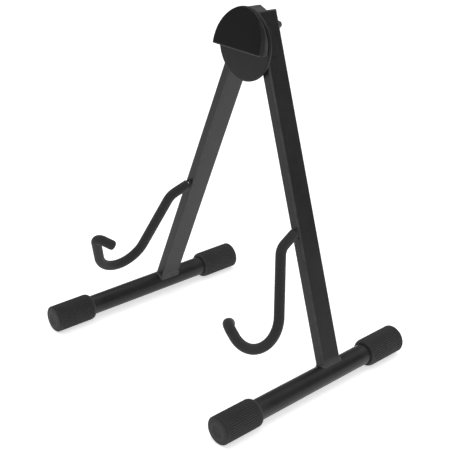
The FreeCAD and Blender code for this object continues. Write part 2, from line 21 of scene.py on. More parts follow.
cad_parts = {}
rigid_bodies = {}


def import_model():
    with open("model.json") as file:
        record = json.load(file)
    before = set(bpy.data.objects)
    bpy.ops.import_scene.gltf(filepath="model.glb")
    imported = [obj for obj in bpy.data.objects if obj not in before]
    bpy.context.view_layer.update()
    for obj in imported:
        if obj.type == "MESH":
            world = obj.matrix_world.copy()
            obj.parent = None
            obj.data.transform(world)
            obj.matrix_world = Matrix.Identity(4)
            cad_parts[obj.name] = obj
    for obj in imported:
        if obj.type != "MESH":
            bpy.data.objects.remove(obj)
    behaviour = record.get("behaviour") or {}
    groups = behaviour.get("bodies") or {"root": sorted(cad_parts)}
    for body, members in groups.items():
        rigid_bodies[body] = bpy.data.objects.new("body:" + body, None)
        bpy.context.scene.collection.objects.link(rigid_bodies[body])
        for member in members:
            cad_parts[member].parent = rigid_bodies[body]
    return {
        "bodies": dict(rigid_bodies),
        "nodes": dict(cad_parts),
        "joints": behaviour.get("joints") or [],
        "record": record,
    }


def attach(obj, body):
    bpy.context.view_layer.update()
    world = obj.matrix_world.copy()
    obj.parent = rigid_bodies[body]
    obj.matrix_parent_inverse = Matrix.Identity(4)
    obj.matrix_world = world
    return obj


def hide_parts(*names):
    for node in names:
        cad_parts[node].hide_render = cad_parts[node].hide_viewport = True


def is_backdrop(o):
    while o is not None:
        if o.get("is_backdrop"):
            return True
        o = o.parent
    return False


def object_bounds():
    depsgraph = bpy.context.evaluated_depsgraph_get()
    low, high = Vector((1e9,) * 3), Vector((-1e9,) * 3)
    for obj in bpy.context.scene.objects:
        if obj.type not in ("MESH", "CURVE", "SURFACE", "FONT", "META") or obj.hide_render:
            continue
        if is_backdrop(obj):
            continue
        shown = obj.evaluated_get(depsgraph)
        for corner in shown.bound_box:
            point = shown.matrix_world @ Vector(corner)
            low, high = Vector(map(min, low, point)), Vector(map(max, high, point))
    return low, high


LOG = logging.getLogger("guitar_stand")
MM = 0.001
EDGE_LAYER = "edge"
DUST_DULLS = 0.5

Colour = tuple[float, float, float]
Reshape = Callable[[float, float, float], float]
Fill = Callable[["NodeTree", dict], tuple]


class Side(Enum):
    """The two legs, each with the sign of its place along X."""

    RIGHT = 1
    LEFT = -1

    @property
    def label(self) -> str:
        """The side's name as it stands in piece names."""
        return self.name.lower()


class Texture(Enum):
    """The fine relief that a finish has."""

    ORANGE_PEEL = "orange_peel"
    CELLS = "cells"
    SPARKED = "sparked"
    BRUSHED = "brushed"


# ------------------------------------------------------------------ places


@dataclass(frozen=True)
class Stance:
    """How the legs stand when the stand is open, and the frames that follow from it."""

    head: Matrix
    offset: float
    lean: float
    splay: float = math.radians(20.5)
    reach: float = 360 * MM

    @classmethod
    def from_joints(cls, joints: Sequence[dict]) -> Stance:
        """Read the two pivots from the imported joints.

        Args:
            joints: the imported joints, one for each leg.

        Returns:
            The stance whose pivots are those joints.
        """
        places = {joint["child"]: joint for joint in joints}
        right = Vector(places["right_leg"]["pos_m"])
        left = Vector(places["left_leg"]["pos_m"])
        back = Vector(places["right_leg"]["axis"]).normalized()
        across = Vector((1, 0, 0))
        up = across.cross(back)
        turn = Matrix((across, back, up)).transposed().to_4x4()
        place = Matrix.Translation((right + left) / 2) @ turn
        return cls(head=place, offset=(right - left).length / 2, lean=math.atan2(-back.z, back.y))

    @property
    def weld_angle(self) -> float:
        """The foot tube's angle in its leg's frame, which lays it flat on the floor."""
        return math.atan(math.tan(self.lean) / math.cos(self.splay))

    def leg(self, side: Side) -> Matrix:
        """The frame of one leg."""
        shift = Matrix.Translation((side.value * self.offset, 0, 0))
        return self.head @ shift @ Matrix.Rotation(-side.value * self.splay, 4, "Y")

    def foot(self, side: Side) -> Matrix:
        """The frame of one foot tube."""
        crossing = self.leg(side) @ Matrix.Translation((0, 0, -self.reach))
        crossing = crossing @ Matrix.Rotation(self.weld_angle - math.pi / 2, 4, "X")
        along = crossing.to_3x3() @ Vector((0, 0, 1))
        return crossing @ Matrix.Translation((0, 0, -crossing.translation.y / along.y))

    def pivot(self, side: Side) -> Matrix:
        """A frame on one pivot whose Z runs along the pivot, to the back."""
        return self.leg(side) @ Matrix.Rotation(-math.pi / 2, 4, "X")


# ------------------------------------------------------------------ node groups


class NodeTree:
    """A small helper that adds nodes and links to one node tree."""

    COLOUR_INPUTS = (0, 6, 7)
    COLOUR_OUTPUT = 2

    def __init__(self, tree: bpy.types.NodeTree) -> None:
        """Keep the tree that the nodes go into."""
        self.tree = tree

    def add(self, kind: str, settings: dict | None = None, **inputs: object) -> bpy.types.Node:
        """Add one node.

        Args:
            kind: the node's Blender type.
            settings: properties of the node itself.
            **inputs: values or output sockets for the inputs, with spaces in their names as underscores.

        Returns:
            The new node.
        """
        node = self.tree.nodes.new(kind)
        for name, value in (settings or {}).items():
            setattr(node, name, value)
        for name, value in inputs.items():
            label = name.replace("_", " ")
            self.feed(next(entry for entry in node.inputs if entry.name == label and entry.enabled), value)
        return node

    def group(self, group: bpy.types.NodeTree, **inputs: object) -> bpy.types.Node:
        """Place a shared group with its own values."""
        return self.add("ShaderNodeGroup", {"node_tree": group}, **inputs)

    def feed(self, socket: bpy.types.NodeSocket, value: object) -> None:
        """Link a socket to an input, or set the input's own value."""
        if isinstance(value, bpy.types.NodeSocket):
            self.tree.links.new(value, socket)
        else:
            socket.default_value = value

    def math(self, operation: str, first: object, second: object) -> bpy.types.NodeSocket:
        """A Math node's result for two values or sockets."""
        node = self.add("ShaderNodeMath", {"operation": operation})
        for socket, value in zip(node.inputs, (first, second)):
            self.feed(socket, value)
        return node.outputs[0]

    def times(self, first: object, second: object) -> bpy.types.NodeSocket:
        """Two values multiplied."""
        return self.math("MULTIPLY", first, second)

    def weigh(self, first: object, share: float, second: object, other: float) -> bpy.types.NodeSocket:
        """Two values added up, each by its share."""
        return self.math("ADD", self.times(first, share), self.times(second, other))

    def remap(self, value: object, span: tuple, new_span: tuple = (0.0, 1.0)) -> bpy.types.NodeSocket:
        """A value moved from one span to another and kept inside it."""
        node = self.add("ShaderNodeMapRange", {"clamp": True}, Value=value, From_Min=span[0],
                        From_Max=span[1], To_Min=new_span[0], To_Max=new_span[1])
        return node.outputs["Result"]

    def mix(self, factor: object, first: object, second: object) -> bpy.types.NodeSocket:
        """Two colours mixed by a factor."""
        node = self.add("ShaderNodeMix", {"data_type": "RGBA"})
        for index, value in zip(self.COLOUR_INPUTS, (factor, first, second)):
            self.feed(node.inputs[index], value)
        return node.outputs[self.COLOUR_OUTPUT]

    def place(self) -> bpy.types.NodeSocket:
        """The object's own coordinates."""
        return self.add("ShaderNodeTexCoord").outputs["Object"]

    def noise(self, scale: object, detail: float = 2.0, roughness: float = 0.5,
              place: bpy.types.NodeSocket | None = None) -> bpy.types.NodeSocket:
        """Noise over the object's own coordinates, or over others."""
        where = self.place() if place is None else place
        return self.add("ShaderNodeTexNoise", Vector=where, Scale=scale, Detail=detail,
                        Roughness=roughness).outputs[0]


class GroupShelf:
    """The shader node groups that the finishes share, each built the first time it is asked for."""

    DARK = (0.01, 0.01, 0.01, 1.0)
    PALE = (0.03, 0.03, 0.03, 1.0)
    # Default paler edge colour: wear, and a painted highlight along the edges.
    RUBBED = (0.05, 0.05, 0.05, 1.0)
    DUST = (0.30, 0.29, 0.28, 1.0)

    def __init__(self) -> None:
        """Start with no groups."""
        self.groups: dict[str, bpy.types.NodeTree] = {}

    def group(self, name: str, inputs: dict[str, object], outputs: dict[str, str],
              fill: Fill) -> bpy.types.NodeTree:
        """A group with named sockets.

        Args:
            name: the group's name.
            inputs: each input's default; a number makes a float socket and a tuple a colour socket.
            outputs: each output's socket type.
            fill: adds the nodes to a tree with its input sockets, and gives each output's result.

        Returns:
            The group.
        """
        if name in self.groups:
            return self.groups[name]
        group = bpy.data.node_groups.new(name, "ShaderNodeTree")
        for label, default in inputs.items():
            kind = "NodeSocketColor" if isinstance(default, tuple) else "NodeSocketFloat"
            socket = group.interface.new_socket(label, in_out="INPUT", socket_type=kind)
            socket.default_value = default
        for label, kind in outputs.items():
            group.interface.new_socket(label, in_out="OUTPUT", socket_type=kind)
        source = group.nodes.new("NodeGroupInput")
        sink = group.nodes.new("NodeGroupOutput")
        results = fill(NodeTree(group), {entry.name: entry for entry in source.outputs})
        for label, result in zip(outputs, results):
            group.links.new(result, sink.inputs[label])
        self.groups[name] = group
        return group

    def blend(self, name: str, inputs: dict[str, object], fill: Fill) -> bpy.types.NodeTree:
        """A group that takes its Base colour towards another one, with outputs Color and Mask.

        Args:
            name: the group's name.
            inputs: the defaults of the inputs besides Base.
            fill: adds the nodes, and gives the mask and the other colour.

        Returns:
            The group.
        """

        def shade(tree: NodeTree, source: dict) -> tuple:
            """The mixed colour and its mask."""
            mask, other = fill(tree, source)
            return tree.mix(mask, source["Base"], other), mask

        return self.group(name, {"Base": self.DARK} | inputs,
                          {"Color": "NodeSocketColor", "Mask": "NodeSocketFloat"}, shade)

    def relief(self, texture: Texture) -> bpy.types.NodeTree:
        """The group that gives the height of one fine relief, at a scale in repeats per metre."""

        def fill(tree: NodeTree, source: dict) -> tuple:
            """The relief's height."""
            scale = source["Scale"]
            if texture is Texture.CELLS:
                cells = tree.add("ShaderNodeTexVoronoi", {"feature": "SMOOTH_F1"}, Vector=tree.place(),
                                 Scale=scale)
                return (tree.weigh(cells.outputs["Distance"], 0.7, tree.noise(tree.times(scale, 0.2)), 0.6),)
            if texture is Texture.BRUSHED:
                stretch = tree.add("ShaderNodeMapping", Vector=tree.place(), Scale=(1.0, 1.0, 0.06))
                return (tree.noise(scale, 4.0, place=stretch.outputs["Vector"]),)
            rough = 0.35 if texture is Texture.ORANGE_PEEL else 0.75
            return (tree.weigh(tree.noise(scale, 3.0, rough), 0.7, tree.noise(tree.times(scale, 0.3)), 0.3),)

        return self.group(f"relief_{texture.value}", {"Scale": 900.0}, {"Height": "NodeSocketFloat"}, fill)

    def tone(self) -> bpy.types.NodeTree:
        """The group that drifts a colour to a paler one in soft clouds, with finer mottling over them."""

        def fill(tree: NodeTree, source: dict) -> tuple:
            """The clouds, and the paler colour."""
            clouds = tree.noise(source["Scale"], 5.0, 0.6)
            mottle = tree.noise(tree.times(source["Scale"], 14.0))
            return tree.remap(tree.weigh(clouds, 0.65, mottle, 0.35), (0.38, 0.66)), source["Pale"]

        return self.blend("tone_drift", {"Pale": self.PALE, "Scale": 18.0}, fill)

    def dust(self) -> bpy.types.NodeTree:
        """The group that lays a thin film of dust on faces that look up."""

        def fill(tree: NodeTree, source: dict) -> tuple:
            """The film, and the dust's colour."""
            normal = tree.add("ShaderNodeNewGeometry").outputs["Normal"]
            upward = tree.add("ShaderNodeSeparateXYZ", Vector=normal).outputs["Z"]
            specks = tree.remap(tree.noise(420.0, 6.0, 0.7), (0.42, 0.68), (0.25, 1.0))
            patches = tree.remap(tree.noise(30.0, 3.0), (0.3, 0.7), (0.4, 1.0))
            film = tree.times(tree.times(tree.remap(upward, (0.15, 1.0)), specks), patches)
            return tree.times(film, source["Amount"]), self.DUST

        return self.blend("settled_dust", {"Amount": 0.1}, fill)

    def wear(self) -> bpy.types.NodeTree:
        """The group that makes the outer edges paler in patches: partly wear, partly a painted highlight
        along the rounded edges.
        """

        def fill(tree: NodeTree, source: dict) -> tuple:
            """The paler edges, as wear and painted highlight, and their colour."""
            edge = tree.add("ShaderNodeAttribute", {"attribute_name": EDGE_LAYER}).outputs["Fac"]
            patches = tree.remap(tree.noise(90.0, 6.0, 0.65), (0.35, 0.65), (0.6, 1.0))
            return tree.times(tree.times(edge, patches), source["Amount"]), source["Rubbed"]

        return self.blend("edge_rub", {"Rubbed": self.RUBBED, "Amount": 0.5}, fill)


# ------------------------------------------------------------------ finishes


@dataclass(frozen=True)
class Finish:
    """One surface finish: its colours, how it shines and its fine relief."""

    name: str
    slot: str
    base: Colour
    pale: Colour
    texture: Texture
    grain: float
    depth: float
    rough_low: float
    rough_high: float
    cloud: float = 18.0
    metallic: float = 0.0
    specular: float = 0.5
    sheen: float = 0.0
    # Paler colour and amount on the outer edges: wear, and a painted highlight where the rounded edges would
    # catch the light.
    rubbed: Colour = (0.05, 0.05, 0.05)
    rub_amount: float = 0.3
    dust_amount: float = 0.05

    def build(self, shelf: GroupShelf) -> bpy.types.Material:
        """Build the finish as a material.

        Args:
            shelf: the shared node groups.

        Returns:
            The material.
        """
        material = bpy.data.materials.new(self.name)
        material.use_nodes = True
        tree = NodeTree(material.node_tree)
        tree.tree.nodes.clear()
        drift = tree.group(shelf.tone(), Base=(*self.base, 1.0), Pale=(*self.pale, 1.0), Scale=self.cloud)
        # The outer edges made paler: wear, and a painted highlight.
        worn_and_lit = tree.group(shelf.wear(), Base=drift.outputs["Color"], Rubbed=(*self.rubbed, 1.0),
                         Amount=self.rub_amount)
        dust = tree.group(shelf.dust(), Base=worn_and_lit.outputs["Color"], Amount=self.dust_amount)
        relief = tree.group(shelf.relief(self.texture), Scale=self.grain)
        gloss = tree.remap(drift.outputs["Mask"], (0.0, 1.0), (self.rough_low, self.rough_high))
        dulled = tree.math("ADD", gloss, tree.times(dust.outputs["Mask"], DUST_DULLS))
        bump = tree.add("ShaderNodeBump", Height=relief.outputs["Height"], Distance=self.depth, Strength=1.0)
        shader = tree.add("ShaderNodeBsdfPrincipled", Base_Color=dust.outputs["Color"], Roughness=dulled,
                          Normal=bump.outputs["Normal"], Metallic=self.metallic,
                          Specular_IOR_Level=self.specular, Sheen_Weight=self.sheen)
        tree.add("ShaderNodeOutputMaterial", Surface=shader.outputs["BSDF"])
        return material


# Each finish's edge colour paints highlights along its rounded edges as well as wear, the powder coat, pad
# and disc most of all.
POWDER_COAT = Finish("powder_coat", "black_steel", (0.008, 0.0081, 0.0087), (0.0125, 0.0127, 0.0133),
                     Texture.ORANGE_PEEL, grain=700.0, depth=0.00004, rough_low=0.32, rough_high=0.44,
                     specular=0.3, rubbed=(0.14, 0.14, 0.145), rub_amount=0.4, dust_amount=0.02)
CAP_RUBBER = Finish("cap_rubber", "black_rubber", (0.008, 0.008, 0.0083), (0.018, 0.018, 0.0187),
                    Texture.SPARKED, grain=1500.0, depth=0.00005, rough_low=0.62, rough_high=0.8,
                    specular=0.35, sheen=0.06, rubbed=(0.06, 0.06, 0.06), rub_amount=0.4, dust_amount=0.04)
PAD_RUBBER = Finish("pad_rubber", "black_rubber", (0.006, 0.006, 0.0062), (0.009, 0.009, 0.0094),
                    Texture.SPARKED, grain=1700.0, depth=0.00003, rough_low=0.55, rough_high=0.68,
                    specular=0.14, rubbed=(0.13, 0.13, 0.13), rub_amount=0.6, dust_amount=0.01)
FOAM = Finish("sleeve_foam", "black_foam", (0.014, 0.014, 0.0145), (0.024, 0.024, 0.025), Texture.CELLS,
              grain=1300.0, depth=0.00012, rough_low=0.7, rough_high=0.88, specular=0.3, sheen=0.1,
              rubbed=(0.04, 0.04, 0.04), rub_amount=0.2, dust_amount=0.05)
MOULDING = Finish("disc_moulding", "black_moulding", (0.009, 0.009, 0.0093), (0.013, 0.013, 0.0135),
                  Texture.SPARKED, grain=1400.0, depth=0.00003, rough_low=0.4, rough_high=0.52,
                  specular=0.22, rubbed=(0.12, 0.12, 0.12), rub_amount=0.5, dust_amount=0.015)
PLUG_MOULDING = Finish("plug_moulding", "grey_moulding", (0.02, 0.02, 0.0207), (0.03, 0.03, 0.0307),
                       Texture.SPARKED, grain=1300.0, depth=0.00004, rough_low=0.4, rough_high=0.55,
                       rubbed=(0.08, 0.08, 0.08), rub_amount=0.4, dust_amount=0.08)
ZINC = Finish("zinc_plate", "zinc_steel", (0.33, 0.335, 0.34), (0.46, 0.46, 0.45), Texture.BRUSHED,
              grain=2200.0, depth=0.00002, rough_low=0.28, rough_high=0.45, metallic=1.0, cloud=60.0,
              rubbed=(0.6, 0.6, 0.6), rub_amount=0.4, dust_amount=0.02)
BLACK_ZINC = Finish("black_zinc", "zinc_steel", (0.03, 0.03, 0.032), (0.05, 0.05, 0.052), Texture.BRUSHED,
                    grain=2200.0, depth=0.00002, rough_low=0.3, rough_high=0.45, metallic=0.8, cloud=60.0,
                    rubbed=(0.2, 0.2, 0.2), rub_amount=0.4, dust_amount=0.03)
NYLON = Finish("washer_nylon", "nylon", (0.02, 0.02, 0.021), (0.03, 0.03, 0.031), Texture.SPARKED,
               grain=1600.0, depth=0.00003, rough_low=0.4, rough_high=0.55, dust_amount=0.02)


# ------------------------------------------------------------------ workshop


class Workshop:
    """Turns finished bmeshes into pieces, and keeps the finishes."""

    def __init__(self) -> None:
        """Start with no finishes built."""
        self.shelf = GroupShelf()
        self.finishes: dict[str, bpy.types.Material] = {}

    def material(self, finish: Finish) -> bpy.types.Material:
        """The finish's material, built on first use."""
        if finish.name not in self.finishes:
            self.finishes[finish.name] = finish.build(self.shelf)
        return self.finishes[finish.name]

    def piece(self, bm: bmesh.types.BMesh, name: str, place: Matrix, finish: Finish, body: str,
              stands_for: Sequence[str], sharp: float = 35.0) -> bpy.types.Object:
        """Turn a bmesh into a piece of the stand.

        Args:
            bm: the piece's mesh in its own frame; it is freed.
            name: the piece's name.
            place: the piece's own frame in the stand's frame.
            finish: its surface.
            body: the moving body that it rides on.
            stands_for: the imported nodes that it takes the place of.
            sharp: the angle in degrees past which an edge is shaded sharp.

        Returns:
            The new object.
        """
        bmesh.ops.remove_doubles(bm, verts=bm.verts, dist=1e-7)
        bmesh.ops.recalc_face_normals(bm, faces=bm.faces)
        self.mark_edges(bm)
        bmesh.ops.transform(bm, matrix=place, verts=bm.verts)
        mesh = bpy.data.meshes.new(name)
        bm.to_mesh(mesh)
        bm.free()
        mesh.shade_smooth()
        mesh.set_sharp_from_angle(angle=math.radians(sharp))
        mesh.materials.append(self.material(finish))
        thing = bpy.data.objects.new(name, mesh)
        bpy.context.scene.collection.objects.link(thing)
        even = thing.modifiers.new("even_normals", "WEIGHTED_NORMAL")
        even.keep_sharp = True
        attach(thing, body)
        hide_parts(*stands_for)
        LOG.info("%s: %d faces on %s", name, len(mesh.polygons), body)
        return thing
    def sided(self, bm: bmesh.types.BMesh, side: Side, names: tuple[str, str], place: Matrix,
              finish: Finish, body: str, sharp: float = 35.0) -> bpy.types.Object:
        """Turn a bmesh into a piece that each side has; the names are the piece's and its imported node's."""
        piece, node = (f"{side.label}_{name}" for name in names)
        return self.piece(bm, piece, place, finish, body, [node], sharp)
    @staticmethod
    def mark_edges(bm: bmesh.types.BMesh) -> None:
        """Write how sharply each vertex stands out, for the edges painted paler as wear and as a painted
        highlight.
        """
        layer = bm.verts.layers.float.new(EDGE_LAYER)
        low, high = math.radians(9), math.radians(16)
        for vert in bm.verts:
            bend = max((edge.calc_face_angle_signed(0.0) for edge in vert.link_edges), default=0.0)
            vert[layer] = min(max((bend - low) / (high - low), 0.0), 1.0)

    def carry_over(self, frame: dict, finishes: dict[str, Finish]) -> None:
        """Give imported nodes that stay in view, or inside, their finish.

        Args:
            finishes: each node's finish.
        """
        for node, finish in finishes.items():
            mesh = frame["nodes"][node].data
            mesh.materials.clear()
            mesh.materials.append(self.material(finish))
            LOG.info("%s: packed solid kept", node)


def soften(bm: bmesh.types.BMesh, geom: Sequence, radius: float, segments: int,
           affect: str = "EDGES") -> None:
    """Round edges or corners off, by a radius in millimetres."""
    bmesh.ops.bevel(bm, geom=geom, offset=radius * MM, segments=segments, profile=0.5, affect=affect,
                    material=-1)


def inset(bm: bmesh.types.BMesh, face: bmesh.types.BMFace, margin: float) -> None:
    """Inset an open face by a margin in millimetres."""
    bmesh.ops.inset_region(bm, faces=[face], thickness=margin * MM, use_even_offset=True, use_boundary=True)


def lathe(profile: Iterable[tuple[float, float]], segments: int,
          reshape: Reshape | None = None) -> bmesh.types.BMesh:
    """Spin an open profile into a closed solid about Z.

    Args:
        profile: radius and height of each point, in millimetres; it ends on the axis or meets itself.
        segments: faces round the axis.
        reshape: gives a vertex's radius from its angle, radius and height, all in metres and radians.

    Returns:
        The new bmesh.
    """
    bm = bmesh.new()
    verts = [bm.verts.new((radius * MM, 0, height * MM)) for radius, height in profile]
    edges = [bm.edges.new(pair) for pair in zip(verts, verts[1:])]
    bmesh.ops.spin(bm, geom=verts + edges, cent=(0, 0, 0), axis=(0, 0, 1), dvec=(0, 0, 0), angle=math.tau,
                   steps=segments, use_merge=True, use_duplicate=False)
    bmesh.ops.remove_doubles(bm, verts=bm.verts, dist=1e-7)
    if reshape:
        for vert in bm.verts:
            radius = math.hypot(vert.co.x, vert.co.y)
            if radius > 1e-6:
                angle = math.atan2(vert.co.y, vert.co.x)
                factor = reshape(angle, radius, vert.co.z) / radius
                vert.co.x *= factor
                vert.co.y *= factor
    bmesh.ops.recalc_face_normals(bm, faces=bm.faces)
    return bm


def arc(centre: tuple[float, float], radius: float, start: float, end: float,
        steps: int) -> list[tuple[float, float]]:
    """Points of a profile's rounding, from one angle in degrees to another."""
    angles = [math.radians(start + (end - start) * index / steps) for index in range(steps + 1)]
    return [(centre[0] + radius * math.cos(angle), centre[1] + radius * math.sin(angle)) for angle in angles]


def hexagon(flats: float) -> Reshape:
    """A reshape that pulls a round into a hexagon of a width across flats, in millimetres."""
    apothem = flats * MM / 2

    def radius_at(angle: float, radius: float, _height: float) -> float:
        """The hexagon's radius, or the round's where that is smaller."""
        local = (angle + math.pi / 6) % (math.pi / 3) - math.pi / 6
        return min(radius, apothem / math.cos(local))

    return radius_at


class Drawn:
    """A section drawn along straight runs and bends, as a tube is made; one or two loops travel together."""

    def __init__(self, bm: bmesh.types.BMesh, edges: list[bmesh.types.BMEdge], centre: Vector) -> None:
        """Start from the section's loops and the point in their middle."""
        self.bm = bm
        self.first = list(edges)
        self.edges = list(edges)
        self.centre = centre.copy()

    @classmethod
    def rings(cls, radii: Sequence[float], centre: Vector, ahead: Vector, segments: int) -> Drawn:
        """Start from round loops of the given radii, square to the way ahead."""
        bm = bmesh.new()
        turn = Matrix.Translation(centre) @ ahead.to_track_quat("Z", "Y").to_matrix().to_4x4()
        for radius in radii:
            bmesh.ops.create_circle(bm, cap_ends=False, segments=segments, radius=radius, matrix=turn)
        return cls(bm, list(bm.edges), centre)

    @property
    def verts(self) -> list[bmesh.types.BMVert]:
        """The travelling loops' vertices."""
        return list({vert for edge in self.edges for vert in edge.verts})

    def run(self, step: Vector) -> None:
        """Draw the section straight along a step."""
        made = bmesh.ops.extrude_edge_only(self.bm, edges=self.edges)["geom"]
        fresh = {item for item in made if isinstance(item, bmesh.types.BMVert)}
        self.edges = [item for item in made
                      if isinstance(item, bmesh.types.BMEdge) and set(item.verts) <= fresh]
        bmesh.ops.translate(self.bm, verts=list(fresh), vec=step)
        self.centre += step

    def bend(self, middle: Vector, axis: Vector, angle: float, steps: int) -> None:
        """Draw the section round a bend."""
        made = bmesh.ops.spin(self.bm, geom=self.verts + self.edges, cent=middle, axis=axis, dvec=(0, 0, 0),
                              angle=angle, steps=steps, use_merge=False, use_duplicate=False)["geom_last"]
        self.edges = [item for item in made if isinstance(item, bmesh.types.BMEdge)]
        self.centre = middle + Matrix.Rotation(angle, 3, axis) @ (self.centre - middle)

    def follow(self, corners: Sequence[Vector], radii: Sequence[float], steps: Sequence[int]) -> None:
        """Draw the section along a route with one bend at each inner corner.

        Args:
            corners: the route's corners, the first at the section's middle.
            radii: each bend's radius.
            steps: each bend's number of facets.
        """
        for before, corner, after, radius, count in zip(corners, corners[1:], corners[2:], radii, steps):
            into, out = (corner - before).normalized(), (after - corner).normalized()
            turn = into.angle(out)
            touch = corner - into * radius * math.tan(turn / 2)
            self.run(touch - self.centre)
            inward = (out - into * out.dot(into)).normalized()
            self.bend(touch + inward * radius, into.cross(out).normalized(), turn, count)
        self.run(corners[-1] - self.centre)

    def close(self) -> None:
        """Close both ends of a pair of loops, from one loop to the other."""
        for edges in (self.first, self.edges):
            bmesh.ops.bridge_loops(self.bm, edges=edges)
        bmesh.ops.recalc_face_normals(self.bm, faces=self.bm.faces)

    def matched(self, before: Sequence[bmesh.types.BMVert]) -> list[bmesh.types.BMVert]:
        """The travelling loop's vertices in the order of the loop that they came from."""
        fresh = set(self.verts)
        return [next(edge.other_vert(vert) for edge in vert.link_edges if edge.other_vert(vert) in fresh)
                for vert in before]


def rounded_outline(bm: bmesh.types.BMesh, width: float, depth: float, radius: float, corner_steps: int = 6,
                    cuts: int = 0) -> bmesh.types.BMFace:
    """Make one flat rounded rectangle, in millimetres, centred on the origin.

    Args:
        bm: where to make it.
        width: its size along X.
        depth: its size along Y.
        radius: its corner radius.
        corner_steps: facets of each corner.
        cuts: extra points along each edge that lies along X.

    Returns:
        The face.
    """
    made = bmesh.ops.create_grid(bm, x_segments=1, y_segments=1, size=0.5)["verts"]
    bmesh.ops.scale(bm, vec=(width * MM, depth * MM, 1), verts=made)
    soften(bm, made, radius, corner_steps, "VERTICES")
    if cuts:
        straight = [edge for edge in bm.edges if abs(edge.verts[0].co.y - edge.verts[1].co.y) < 1e-7]
        for edge in straight:
            bmesh.ops.subdivide_edges(bm, edges=[edge], cuts=cuts)
    return list(bm.faces)[0]


# ------------------------------------------------------------------ legs


